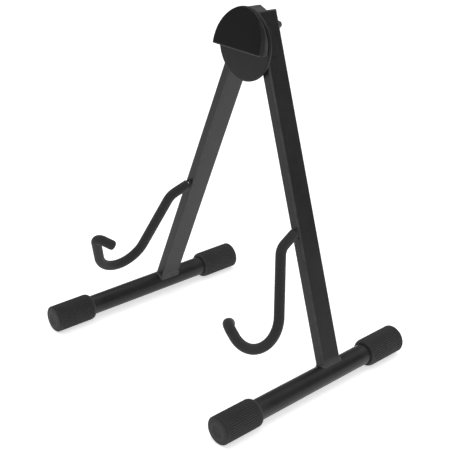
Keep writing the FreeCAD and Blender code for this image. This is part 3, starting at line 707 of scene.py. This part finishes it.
@dataclass
class Leg:
    """One leg: flat tube with its plug, foot tube, two caps, welds and the cradle arm."""

    side: Side
    stance: Stance
    workshop: Workshop
    width: float = 12.0
    depth: float = 25.0
    corner: float = 2.0
    wall: float = 1.2
    head: float = 14.0
    foot_radius: float = 11.0
    foot_span: float = 260.0
    cap_radius: float = 15.0
    cap_length: float = 50.0
    cap_floor: float = 4.0
    ribs: int = 40
    body: str = field(init=False)

    def __post_init__(self) -> None:
        """Name the body that everything on this leg rides on."""
        self.body = f"{self.side.label}_leg"

    def build(self) -> None:
        """Build and dress every piece of the leg."""
        self.tube()
        self.plug()
        self.foot()
        self.foot_weld()
        for end in (-1, 1):
            self.cap(end)
        CradleArm(self.side, self.stance, self.workshop, self.body).build()

    def cope(self, x: float, y: float, radius: float) -> float:
        """How far above the leg's end line a round of this radius, lying on the foot's axis, reaches."""
        angle = self.stance.weld_angle
        return y * math.tan(angle) + math.sqrt(max(radius * radius - x * x, 0.0)) / math.cos(angle)

    def tube(self) -> None:
        """The flat tube: walled, with soft corners and its lower end cut to the foot tube."""
        bm = bmesh.new()
        face = rounded_outline(bm, self.width, self.depth, self.corner, cuts=7)
        bmesh.ops.translate(bm, verts=bm.verts, vec=(0, 0, -self.stance.reach))
        inset(bm, face, self.wall)
        outer = [edge for edge in bm.edges if len(edge.link_faces) == 1]
        inner = list(face.edges)
        bmesh.ops.delete(bm, geom=list(bm.faces), context="FACES_ONLY")
        loose = [edge for edge in bm.edges if edge not in set(outer) | set(inner)]
        bmesh.ops.delete(bm, geom=loose, context="EDGES")
        lower = {vert for edge in outer + inner for vert in edge.verts}
        drawn = Drawn(bm, outer + inner, Vector((0, 0, -self.stance.reach)))
        full = self.stance.reach + self.head * MM
        stops = (16 * MM, 0.3 * full, 0.6 * full, full - 1.5 * MM, full - 0.4 * MM, full)
        for before, after in zip((0.0,) + stops, stops):
            drawn.run(Vector((0, 0, after - before)))
        drawn.close()
        for vert in lower:
            vert.co.z += self.cope(vert.co.x, vert.co.y, self.foot_radius * MM)
        self.piece(bm, ("leg_steel", "leg_tube"), self.stance.leg(self.side), POWDER_COAT)

    def piece(self, bm: bmesh.types.BMesh, names: tuple[str, str], place: Matrix, finish: Finish,
              sharp: float = 35.0) -> None:
        """Hand one finished mesh of the leg to the workshop."""
        self.workshop.sided(bm, self.side, names, place, finish, self.body, sharp)

    def plug(self) -> None:
        """The plug in the leg's cut top: a lid with softened edges and a stem inside the tube."""
        lid, slope, margin, step, dish, stem, play = 1.5, 0.7, 1.0, 0.5, 0.3, 8.0, 0.1
        bm = bmesh.new()
        face = rounded_outline(bm, self.width, self.depth, self.corner)
        bmesh.ops.translate(bm, verts=bm.verts, vec=(0, 0, (self.head + lid) * MM))
        inset(bm, face, slope)
        rim = [vert for vert in bm.verts if vert not in set(face.verts)]
        edges = [edge for edge in bm.edges if set(edge.verts) <= set(rim)]
        bmesh.ops.translate(bm, verts=rim, vec=(0, 0, -slope * MM))
        inset(bm, face, margin)
        inset(bm, face, step)
        bmesh.ops.translate(bm, verts=list(face.verts), vec=(0, 0, -dish * MM))
        drawn = Drawn(bm, edges, Vector((0, 0, (self.head + lid - slope) * MM)))
        drawn.run(Vector((0, 0, (slope - lid) * MM)))
        drawn.run(Vector())
        narrow, shallow = (1 - 2 * (self.wall + play) / size for size in (self.width, self.depth))
        bmesh.ops.scale(bm, vec=(narrow, shallow, 1), verts=drawn.verts)
        drawn.run(Vector((0, 0, -stem * MM)))
        bmesh.ops.edgeloop_fill(bm, edges=drawn.edges)
        self.piece(bm, ("leg_plug", "top_plug"), self.stance.leg(self.side), PLUG_MOULDING)

    def foot(self) -> None:
        """The round foot tube."""
        half = self.foot_span / 2 - self.cap_floor
        outer, inner = self.foot_radius, self.foot_radius - self.wall
        rings = [(outer, half * step / 2) for step in range(-2, 3)]
        bm = lathe([(inner, -half)] + rings + [(inner, half), (inner, -half)], 72)
        self.piece(bm, ("foot_steel", "foot_tube"), self.stance.foot(self.side), POWDER_COAT)

    def foot_weld(self) -> None:
        """The bead round the leg's coped end, laid in small overlapping ripples."""
        size, pitch, swell, spacing, rounding, side_edge = 1.7, 1.5, 0.10, 0.35, 8, 4.0
        bm = bmesh.new()
        face = rounded_outline(bm, self.width, self.depth, self.corner, corner_steps=10)
        for edge in [edge for edge in bm.edges if edge.calc_length() > side_edge * MM]:
            bmesh.ops.subdivide_edges(bm, edges=[edge], cuts=int(edge.calc_length() / (spacing * MM)))
        ring = list(face.edges)
        bmesh.ops.delete(bm, geom=[face], context="FACES_ONLY")
        drawn = Drawn(bm, ring, Vector())
        loops = [self.in_order(ring)]
        base = [vert.co.copy() for vert in loops[0]]
        for _ in range(rounding):
            drawn.run(Vector())
            loops.append(drawn.matched(loops[-1]))
        travelled = 0.0
        for index, point in enumerate(base):
            travelled += (point - base[index - 1]).length if index else 0.0
            ripple = 1.0 + swell * math.sin(math.tau * travelled / (pitch * MM))
            for row, loop in enumerate(loops):
                self.place_bead(loop[index], point, size * ripple, row / rounding)
        bmesh.ops.bridge_loops(bm, edges=drawn.first + drawn.edges)
        place = self.stance.leg(self.side) @ Matrix.Translation((0, 0, -self.stance.reach))
        self.piece(bm, ("foot_bead", "foot_weld"), place, POWDER_COAT, 60)

    def place_bead(self, vert: bmesh.types.BMVert, point: Vector, size: float, share: float) -> None:
        """Set one vertex of the bead, from its toe on the leg to its toe on the foot tube."""
        toe, lift, belly = 0.06 * MM, 0.02 * MM, 0.14
        angle = share * math.pi / 2
        reach = size * MM * (1.0 + belly * math.sin(2 * angle))
        foot = point + self.outward(point) * (toe + (1 - math.cos(angle)) * reach)
        rise = self.cope(foot.x, foot.y, self.foot_radius * MM) + (1 - math.sin(angle)) * reach
        vert.co = Vector((foot.x, foot.y, rise + lift))

    def outward(self, point: Vector) -> Vector:
        """The way out of the leg's section at a point of its outline."""
        half_w, half_d = (self.width / 2 - self.corner) * MM, (self.depth / 2 - self.corner) * MM
        core = Vector((max(-half_w, min(half_w, point.x)), max(-half_d, min(half_d, point.y)), 0))
        return (point - core).normalized()

    @staticmethod
    def in_order(ring: list[bmesh.types.BMEdge]) -> list[bmesh.types.BMVert]:
        """The vertices of a closed loop of edges, one after the other."""
        members = set(ring)
        order = [ring[0].verts[0]]
        edge = ring[0]
        while True:
            vert = edge.other_vert(order[-1])
            if vert is order[0]:
                return order
            order.append(vert)
            edge = next(other for other in vert.link_edges if other in members and other is not edge)

    def cap(self, end: int) -> None:
        """One rubber cap with lengthwise ribs, a rounded shoulder and a domed end.

        Args:
            end: 1 for the back, -1 for the front.
        """
        label = "rear_cap" if end > 0 else "front_cap"
        radius, length = self.cap_radius, self.cap_length
        lip, shoulder, dome, edge = 0.9, 4.6, 1.0, 1.8
        bore, rim = self.foot_radius + 0.05, length - dome
        mouth, top = bore + lip, rim - edge
        profile = [(0, length - self.cap_floor), (bore, length - self.cap_floor), (bore, 0.6),
                   (bore + 0.25, 0.0), (mouth, 0.0)]
        for turn in map(math.radians, range(12, 91, 13)):
            profile.append((mouth + (radius - mouth) * math.sin(turn), shoulder * (1 - math.cos(turn))))
        profile += [(radius, height) for height in (5.4, 12, 24, 36, top - 2.6, top - 1.6, top - 0.8)]
        profile += arc((radius - edge, top), edge, 0, 80, 8)
        profile += [(radius - edge - 1.8, rim + 0.25), (7.2, rim + 0.62), (6.9, rim + 0.45),
                    (6.4, rim + 0.42), (3.2, rim + 0.55), (1.6, rim + 0.4), (0, rim + 0.36)]
        bm = lathe(profile, self.ribs * 8, self.ribbed(top))
        flip = Matrix.Rotation(0 if end > 0 else math.pi, 4, "X")
        shift = Matrix.Translation((0, 0, end * (self.foot_span / 2 - length) * MM))
        self.piece(bm, (f"{label}_rubber", label), self.stance.foot(self.side) @ shift @ flip, CAP_RUBBER, 50)

    def ribbed(self, rib_end: float) -> Reshape:
        """The radius of a cap's ribbed skin.

        Args:
            rib_end: height in millimetres where the ribs have run out.

        Returns:
            A reshape for the cap's lathe.
        """
        groove, plain, lead, fade, run_out, crest = 0.62 * MM, 1.2, 0.8 * MM, 2.5 * MM, 1.6 * MM, 0.6

        def radius_at(angle: float, radius: float, height: float) -> float:
            """Sink the grooves between the ribs, fading out at both ends."""
            if radius < (self.foot_radius + plain) * MM:
                return radius
            wave = 0.5 + 0.5 * math.cos(self.ribs * angle)
            start = min(max((height - lead) / fade, 0.0), 1.0)
            stop = min(max((rib_end * MM - height) / run_out, 0.0), 1.0)
            return radius - groove * start * stop * (1 - wave ** crest)

        return radius_at


@dataclass
class CradleArm:
    """One bent arm: the soft sleeve over its rod, and the bead at its root."""

    side: Side
    stance: Stance
    workshop: Workshop
    body: str
    leg_face: float = -12.5
    drop: float = 209.0
    knee: tuple[float, float] = (24.0, 12.0)
    knee_radius: float = 16.0
    shank: float = math.radians(16)
    hook: tuple[float, float] = (85.0, 277.0)
    hook_radius: float = 32.0
    riser: float = math.radians(22)
    left_tip_drop: float = 254.0
    right_tip_drop: float = 274.0
    tip_radius: float = 6.0
    tip_length: float = 24.0
    tip_turn: float = math.radians(45)
    tip_dip: float = math.radians(12)
    sleeve: float = 5.5
    bore: float = 3.05
    start: float = 1.8
    end_wall: float = 2.4
    end_round: float = 3.6
    root_gap: float = 0.08

    def build(self) -> None:
        """Build the sleeve and the weld."""
        self.foam()
        self.bead()

    def corners(self) -> list[Vector]:
        """The arm's corners in the leg's frame, from the leg's front to the turned-in tip."""
        root = Vector((0, self.leg_face, -self.drop))
        down = Vector((0, -math.sin(self.shank), -math.cos(self.shank)))
        up = Vector((0, -math.sin(self.riser), math.cos(self.riser)))
        centre = Vector((0, -self.hook[0], -self.hook[1]))
        inner = centre + Vector((0, math.cos(self.shank), -math.sin(self.shank))) * self.hook_radius
        outer = centre + Vector((0, -math.cos(self.riser), -math.sin(self.riser))) * self.hook_radius
        first = Vector((0, -self.knee[0], -self.knee[1])).normalized()
        knee = self.crossing(root, first, inner, down)
        bottom = self.crossing(inner, down, outer, up)
        tip_drop = self.right_tip_drop if self.side is Side.RIGHT else self.left_tip_drop
        tip = outer + up * ((-tip_drop - outer.z) / up.z)
        level = Vector((-self.side.value * math.sin(self.tip_turn), math.cos(self.tip_turn), 0))
        turned = level * math.cos(self.tip_dip) - Vector((0, 0, math.sin(self.tip_dip)))
        return [point * MM for point in (root, knee, bottom, tip, tip + turned * self.tip_length)]

    @staticmethod
    def crossing(first: Vector, along: Vector, second: Vector, other: Vector) -> Vector:
        """Where two lines in the arm's plane cross."""
        gap = second - first
        cross = along.y * other.z - along.z * other.y
        return first + along * ((gap.y * other.z - gap.z * other.y) / cross)

    def foam(self) -> None:
        """The soft sleeve, open over its rod at the root and closed and rounded at the tip."""
        corners = self.corners()
        ahead = (corners[1] - corners[0]).normalized()
        corners[0] = corners[0] + ahead * self.start * MM
        drawn = Drawn.rings((self.sleeve * MM, self.bore * MM), corners[0], ahead, 48)
        roots = drawn.verts
        radii = [value * MM for value in (self.knee_radius, self.hook_radius, self.tip_radius)]
        drawn.follow(corners, radii, (28, 72, 26))
        face = (self.leg_face - self.root_gap) * MM
        for vert in roots:
            if vert.co.y > face:
                vert.co += ahead * ((face - vert.co.y) / ahead.y)
        self.pinch(drawn.bm, corners)
        rim = [edge for edge in drawn.edges if self.on_skin(edge, drawn.centre)]
        inside = [edge for edge in drawn.edges if edge not in rim]
        back = (corners[3] - corners[4]).normalized() * self.end_wall * MM
        bmesh.ops.translate(drawn.bm, verts=list({vert for edge in inside for vert in edge.verts}), vec=back)
        bmesh.ops.bridge_loops(drawn.bm, edges=drawn.first)
        for loop in (rim, inside):
            bmesh.ops.edgeloop_fill(drawn.bm, edges=loop)
        bmesh.ops.recalc_face_normals(drawn.bm, faces=drawn.bm.faces)
        soften(drawn.bm, rim, self.end_round, 8)
        self.workshop.sided(drawn.bm, self.side, ("arm_foam", "rod_sleeve"), self.stance.leg(self.side), FOAM,
                            self.body, 50)

    def on_skin(self, edge: bmesh.types.BMEdge, centre: Vector) -> bool:
        """Whether an edge of the last loop lies on the sleeve's outside."""
        return (edge.verts[0].co - centre).length > (self.sleeve + self.bore) / 2 * MM

    def pinch(self, bm: bmesh.types.BMesh, corners: Sequence[Vector]) -> None:
        """Crease the foam on the inside of the tight bend at the tip."""
        crease, width, margin, spread = 0.8 * MM, 1.2 * MM, 0.5, 1.75
        before, corner, after = corners[2:5]
        into, out = (corner - before).normalized(), (after - corner).normalized()
        turn = into.angle(out)
        middle = corner + (out - into).normalized() * (self.tip_radius * MM / math.cos(turn / 2))
        for vert in bm.verts:
            away = vert.co - middle
            reach = away.length
            if reach > (spread * self.sleeve + self.tip_radius) * MM:
                continue
            depth = math.exp(-(away.dot((into + out).normalized()) / width) ** 2)
            near = max(0.0, 1.0 - reach / ((self.tip_radius + margin) * MM))
            vert.co += away.normalized() * (crease * depth * near)

    def bead(self) -> None:
        """The small bead where the rod meets the leg."""
        core, toe, height, ripples, swell, flatten = 3.0, 5.0, 1.7, 18, 0.018, 0.97
        profile = [(core, 0.0), (toe, 0.0)] + arc((3.3, 0.0), 1.68, 4, 84, 8) + [(core, height), (core, 0.0)]

        def rippled(angle: float, radius: float, _height: float) -> float:
            """Small ripples round the bead."""
            return radius * (1 + swell * math.sin(ripples * angle)) if radius > (core + 0.1) * MM else radius

        bm = lathe(profile, 96, rippled)
        turn = Matrix.Rotation(math.pi / 2, 4, "X")
        place = self.stance.leg(self.side) @ Matrix.Translation(self.corners()[0]) @ turn
        bmesh.ops.scale(bm, vec=(flatten, flatten, 1.0), verts=bm.verts)
        self.workshop.sided(bm, self.side, ("arm_bead", "arm_weld"), place, POWDER_COAT, self.body, 60)


# ------------------------------------------------------------------ head


@dataclass
class Head:
    """The head: bracket, disc, half-moon pad, screws and the two pivots."""

    stance: Stance
    workshop: Workshop
    body: str = "head"
    leg_half: float = 12.5
    leg_gap: float = 1.0
    plate: float = 2.0
    disc: float = 3.5
    disc_radius: float = 38.0
    disc_drop: float = 18.5
    pad_radius: float = 36.0
    pad_drop: float = 17.0
    pad_foot: float = 23.0
    pad_thick: float = 12.0
    pad_slope: float = math.radians(14)
    pad_rim: float = 2.0
    pad_crown: float = 0.45
    flange_offset: float = 8.15
    flange_top: float = 1.0
    flange_end: float = 31.0
    flange_depth: float = 15.0
    plate_top: float = 9.0

    @property
    def web_back(self) -> float:
        """Distance of the bracket's back from the pivot plane."""
        return self.leg_half + self.leg_gap

    @property
    def disc_back(self) -> float:
        """Distance of the disc's back from the pivot plane."""
        return self.web_back + self.plate

    @property
    def pad_back(self) -> float:
        """Distance of the pad's back from the pivot plane."""
        return self.disc_back + self.disc

    def build(self) -> None:
        """Build and dress every piece of the head."""
        self.bracket()
        self.cover_disc()
        self.pad()
        self.screws()
        for side in Side:
            self.pivot(side)

    def bracket(self) -> None:
        """The pressed bracket: a flat web with a flange bent back along each leg."""
        splay, offset = self.stance.splay, self.stance.offset / MM
        shoulder, bend_radius, corner_radius = 6.0, 2.6, 2.5

        def on_leg(sign: int, drop: float) -> tuple[float, float]:
            """A point on the outside of a flange, a drop below the pivot."""
            across = offset + self.flange_offset * math.cos(splay) + drop * math.sin(splay)
            return sign * across, self.flange_offset * math.sin(splay) - drop * math.cos(splay)

        corner = offset + shoulder
        outline = [on_leg(-1, self.flange_end), on_leg(1, self.flange_end), on_leg(1, self.flange_top),
                   (corner, self.plate_top), (-corner, self.plate_top), on_leg(-1, self.flange_top)]
        bm = bmesh.new()
        verts = [bm.verts.new((x * MM, -self.disc_back * MM, z * MM)) for x, z in outline]
        bm.faces.new(verts)
        pairs = ({verts[1], verts[2]}, {verts[5], verts[0]})
        bends = [edge for edge in bm.edges if set(edge.verts) in pairs]
        made = bmesh.ops.extrude_edge_only(bm, edges=bends)["geom"]
        flanges = [item for item in made if isinstance(item, bmesh.types.BMVert)]
        bmesh.ops.translate(bm, verts=flanges, vec=(0, (self.flange_depth + self.plate) * MM, 0))
        back = flanges[0].co.y
        soften(bm, bends, bend_radius, 6)
        soften(bm, [vert for vert in bm.verts if abs(vert.co.y - back) < 1e-6], corner_radius, 5, "VERTICES")
        bmesh.ops.recalc_face_normals(bm, faces=bm.faces)
        if max(bm.faces, key=lambda item: item.calc_area()).normal.y > 0:
            bmesh.ops.reverse_faces(bm, faces=bm.faces)
        steel = self.workshop.piece(bm, "head_bracket_steel", self.stance.head, POWDER_COAT, self.body,
                                    ["hinge_bracket"])
        sheet = steel.modifiers.new("sheet", "SOLIDIFY")
        sheet.thickness = self.plate * MM
        sheet.offset = -1.0
        sheet.use_even_offset = True
        steel.modifiers.move(1, 0)

    def cover_disc(self) -> None:
        """The moulded disc with a rounded rim and a shallow step at its back."""
        radius, thick = self.disc_radius, self.disc
        rim = 2.0
        profile = [(0, 0), (26, 0), (26.6, 0.5), (33.5, 0.5), (34.1, 0), (radius - 0.5, 0), (radius, 0.4)]
        profile += [(radius, thick - rim)] + arc((radius - rim, thick - rim), rim, 9, 90, 9)
        profile += [(radius - 6, thick), (radius * 0.7, thick), (0, thick)]
        bm = lathe(profile, 144)
        place = self.stance.head @ Matrix.Translation((0, -self.disc_back * MM, -self.disc_drop * MM))
        self.workshop.piece(bm, "head_disc_moulding", place @ Matrix.Rotation(math.pi / 2, 4, "X"), MOULDING,
                            self.body, ["head_disc"])

    def pad_thickness(self, height: float) -> float:
        """Thickness of the pad at a height above the pivots, in metres."""
        return (self.pad_thick - (height / MM + self.pad_foot) * math.tan(self.pad_slope)) * MM

    def pad_relief(self, x: float, height: float) -> float:
        """How far the pad stands out at a place on its face.

        Args:
            x: the place's distance to the right of the middle.
            height: its height above the pivots.

        Returns:
            The distance from the pad's back, with the face's rounded rim and slight crown.
        """
        thick = self.pad_thickness(height)
        arch = self.pad_radius * MM - math.hypot(x, height + self.pad_drop * MM)
        inside = max(0.0, min(arch, height + self.pad_foot * MM))
        rim = self.pad_rim * MM
        if inside < rim:
            angle = math.acos(1 - inside / rim)
            return thick - self.pad_crown * MM - min(1.9 * MM, 0.5 * thick) * (1 - math.sin(angle))
        flat = min(1.0, (inside - rim) / (18 * MM))
        return thick - self.pad_crown * MM * (1 - flat) ** 2

    def pad_outline(self, way: Vector, inset: float) -> Vector:
        """A place on the pad's outline, seen from the pad's core.

        Args:
            way: a unit direction from the core, across the pad.
            inset: how far the outline is moved inwards, in millimetres.

        Returns:
            The place, with no depth.
        """
        core = (self.pad_radius - self.pad_drop - self.pad_foot) / 2
        offset = (core + self.pad_drop) * way.z
        radius = self.pad_radius - inset
        reach = -offset + math.sqrt(offset ** 2 - (core + self.pad_drop) ** 2 + radius ** 2)
        if way.z < 0:
            reach = min(reach, (core + self.pad_foot - inset) / -way.z)
        return Vector((way.x * reach, 0, core + way.z * reach)) * MM

    def pad(self) -> None:
        """The half-moon pad: flat below, arched above, with a sloping, barely crowned face."""
        bm = bmesh.new()
        turn = Matrix.Rotation(math.pi / 2, 4, "X")
        bmesh.ops.create_circle(bm, cap_ends=False, segments=320, radius=1.0, matrix=turn)
        drawn = Drawn(bm, list(bm.edges), Vector())
        ways = {vert.index: vert.co.normalized() for vert in bm.verts}
        steps = 8
        rounding = [self.pad_rim * (1 - math.cos(math.pi / 2 * index / steps)) for index in range(steps + 1)]
        insets = [0.5, 0.0] + rounding + [3.0, 4.5, 6.5, 9.0, 12.0, 15.5, 19.0]
        order = list(bm.verts)
        for row, inset in enumerate(insets):
            if row:
                drawn.run(Vector())
                order = drawn.matched(order)
            for index, vert in enumerate(order):
                vert.co = self.pad_outline(ways[index], inset)
                if row > 1:
                    vert.co.y = -self.pad_relief(vert.co.x, vert.co.z)
                elif row == 1:
                    vert.co.y = -0.4 * MM
        for edges in (drawn.first, drawn.edges):
            bmesh.ops.edgeloop_fill(bm, edges=edges)
        bmesh.ops.translate(bm, verts=bm.verts, vec=(0, -self.pad_back * MM, 0))
        self.workshop.piece(bm, "head_pad_rubber", self.stance.head, PAD_RUBBER, self.body,
                            ["half_moon_pad"], sharp=50)

    def screws(self) -> None:
        """The two pan-head screws behind the bracket, in one piece."""
        whole = bmesh.new()
        for drop in (5.0, 16.0):
            profile = [(0, -9.4), (0.9, -9.4), (1.75, -7.6), (1.75, 0), (3.25, 0), (3.25, 0.7)]
            profile += arc((2.05, 1.0), 1.2, 0, 80, 6) + [(1.55, 2.2), (1.35, 1.2), (0, 1.0)]
            bm = lathe(profile, 48, self.cross_recess)
            place = (Matrix.Translation((0, -self.web_back * MM, -drop * MM))
                     @ Matrix.Rotation(-math.pi / 2, 4, "X"))
            bmesh.ops.transform(bm, matrix=place, verts=bm.verts)
            part = bpy.data.meshes.new("screw")
            bm.to_mesh(part)
            bm.free()
            whole.from_mesh(part)
            bpy.data.meshes.remove(part)
        self.workshop.piece(whole, "head_screws_steel", self.stance.head, BLACK_ZINC, self.body,
                            ["head_screws"])

    @staticmethod
    def cross_recess(angle: float, radius: float, height: float) -> float:
        """Pull the recess in a screw's head into a four-pointed star."""
        if height < 0.9 * MM or radius > 1.7 * MM:
            return radius
        return radius * (0.45 + 0.55 * abs(math.cos(2 * angle)) ** 2)

    def pivot(self, side: Side) -> None:
        """The pivot's bolt, washer and lock nut."""
        head, end, thread, pitch, thick = -self.disc_back, 19.0, 13.0, 0.8, 0.8
        bolt = [(0, head - 2.4), (3.6, head - 2.4), (4.6, head - 1.9), (5.0, head - 1.0), (5.0, head),
                (2.5, head), (2.5, thread)]
        for index in range(int((end - 0.9 - thread) / pitch)):
            low = thread + pitch * index
            bolt += [(2.48, low + 0.1), (2.08, low + 0.4), (2.48, low + 0.7)]
        bolt += [(2.2, end - 0.6), (1.8, end), (0, end)]
        low = self.leg_half + 0.05
        base = low + thick
        washer = [(2.62, low), (4.9, low), (5.0, low + 0.1), (5.0, low + 0.6), (4.75, base), (2.8, base),
                  (2.62, low + 0.65), (2.62, low)]
        nut = [(2.55, base), (3.9, base), (4.62, base + 0.45), (4.62, base + 3.0), (3.85, base + 3.5)]
        nut += [(3.45, base + 3.55), (3.4, base + 4.3)] + arc((3.0, base + 4.3), 0.4, 0, 90, 4)
        nut += [(2.7, base + 4.7), (2.55, base + 4.5), (2.55, base)]
        for bm, names in ((lathe(bolt, 48), ("bolt_steel", "pivot_bolt")),
                          (lathe(washer, 72), ("washer_steel", "steel_washer")),
                          (lathe(nut, 72, hexagon(8.0)), ("nut_steel", "pivot_nut"))):
            self.workshop.sided(bm, side, names, self.stance.pivot(side), BLACK_ZINC, self.body)


# ------------------------------------------------------------------ stage


@dataclass(frozen=True)
class Panel:
    """One square soft lamp, with its size in metres and its power in watts."""

    name: str
    place: tuple[float, float, float]
    aim_height: float
    size: float
    power: float


PANELS = (Panel("overhead", (0.0, 0.0, 2.2), aim_height=0.0, size=2.4, power=24.0),
          Panel("left", (-1.6, -1.6, 1.1), aim_height=0.2, size=1.3, power=2.2),
          Panel("right", (1.9, -0.2, 0.9), aim_height=0.2, size=1.0, power=2.2),
          Panel("back", (0.3, 2.0, 1.2), aim_height=0.2, size=1.4, power=6.0),
          Panel("front", (1.4, -1.2, 1.1), aim_height=0.25, size=0.4, power=1.2))


@dataclass(frozen=True)
class Studio:
    """A plain pale floor, soft light and the camera."""

    azimuth: float = math.radians(49)
    elevation: float = math.radians(25)
    distance: float = 1.18
    aim: tuple[float, float, float] = (0.002, 0.002, 0.143)
    lens: float = 89.0
    floor_half: float = 9.0
    floor_tone: float = 0.92
    floor_glow: float = 0.6
    horizon: float = 0.34
    overhead: float = 0.5
    backdrop: float = 0.95

    def build(self) -> None:
        """Set up the whole studio."""
        self.floor()
        self.world()
        self.lamps()
        self.camera()

    def floor(self) -> None:
        """A wide pale floor."""
        bm = bmesh.new()
        bmesh.ops.create_grid(bm, x_segments=2, y_segments=2, size=self.floor_half)
        mesh = bpy.data.meshes.new("floor")
        bm.to_mesh(mesh)
        bm.free()
        material = bpy.data.materials.new("floor_paint")
        material.use_nodes = True
        shader = material.node_tree.nodes["Principled BSDF"]
        shader.inputs["Base Color"].default_value = (*[self.floor_tone] * 3, 1.0)
        shader.inputs["Roughness"].default_value = 0.9
        shader.inputs["Emission Color"].default_value = (1.0, 1.0, 1.0, 1.0)
        shader.inputs["Emission Strength"].default_value = self.floor_glow
        mesh.materials.append(material)
        thing = bpy.data.objects.new("floor", mesh)
        bpy.context.scene.collection.objects.link(thing)
        thing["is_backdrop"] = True

    def world(self) -> None:
        """Soft light, paler overhead than at the horizon, in front of a plain pale background."""
        world = bpy.data.worlds.new("studio")
        bpy.context.scene.world = world
        world.use_nodes = True
        tree = NodeTree(world.node_tree)
        tree.tree.nodes.clear()
        way = tree.add("ShaderNodeTexCoord").outputs["Generated"]
        height = tree.add("ShaderNodeSeparateXYZ", Vector=way).outputs["Z"]
        light = tree.remap(height, (0.0, 0.9), (self.horizon, self.overhead))
        seen = tree.times(tree.add("ShaderNodeLightPath").outputs["Is Camera Ray"], self.backdrop)
        background = tree.add("ShaderNodeBackground", Strength=tree.math("MAXIMUM", light, seen))
        tree.add("ShaderNodeOutputWorld", Surface=background.outputs["Background"])

    def lamps(self) -> None:
        """Large soft panels overhead, to the sides and behind, and a smaller one in front for the edges."""
        for panel in PANELS:
            light = bpy.data.lights.new(panel.name, "AREA")
            light.shape = "SQUARE"
            light.size = panel.size
            light.energy = panel.power
            lamp = bpy.data.objects.new(panel.name, light)
            lamp.location = panel.place
            ahead = Vector((0.0, 0.0, panel.aim_height)) - Vector(panel.place)
            lamp.rotation_euler = ahead.to_track_quat("-Z", "Y").to_euler()
            bpy.context.scene.collection.objects.link(lamp)

    def camera(self) -> None:
        """The camera, turned to the stand's right and a little above it."""
        lens = bpy.data.cameras.new("camera")
        lens.lens = self.lens
        lens.sensor_width = 36.0
        lens.clip_end = 60.0
        thing = bpy.data.objects.new("camera", lens)
        level = Vector((math.sin(self.azimuth), -math.cos(self.azimuth), 0)) * math.cos(self.elevation)
        away = level + Vector((0, 0, math.sin(self.elevation)))
        thing.location = Vector(self.aim) + away * self.distance
        thing.rotation_euler = (math.pi / 2 - self.elevation, 0.0, self.azimuth)
        bpy.context.scene.collection.objects.link(thing)
        bpy.context.scene.camera = thing


def main() -> list[list[float]]:
    """Build the stand and its studio.

    Returns:
        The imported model's box, as its lowest and highest corners.
    """
    logging.basicConfig(level=logging.INFO, format="%(name)s: %(message)s")
    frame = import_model()
    packed_box = [list(corner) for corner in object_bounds()]
    bpy.context.scene.view_settings.view_transform = "Standard"
    stance = Stance.from_joints(frame["joints"])
    workshop = Workshop()
    Head(stance, workshop).build()
    for side in Side:
        Leg(side, stance, workshop).build()
    packed = (("support_rod", ZINC), ("pivot_bush", NYLON), ("nylon_washer", NYLON))
    workshop.carry_over(frame, {f"{side.label}_{node}": finish for side in Side for node, finish in packed})
    Studio().build()
    return packed_box


if __name__ == "__main__":
    CAD_BOX = main()
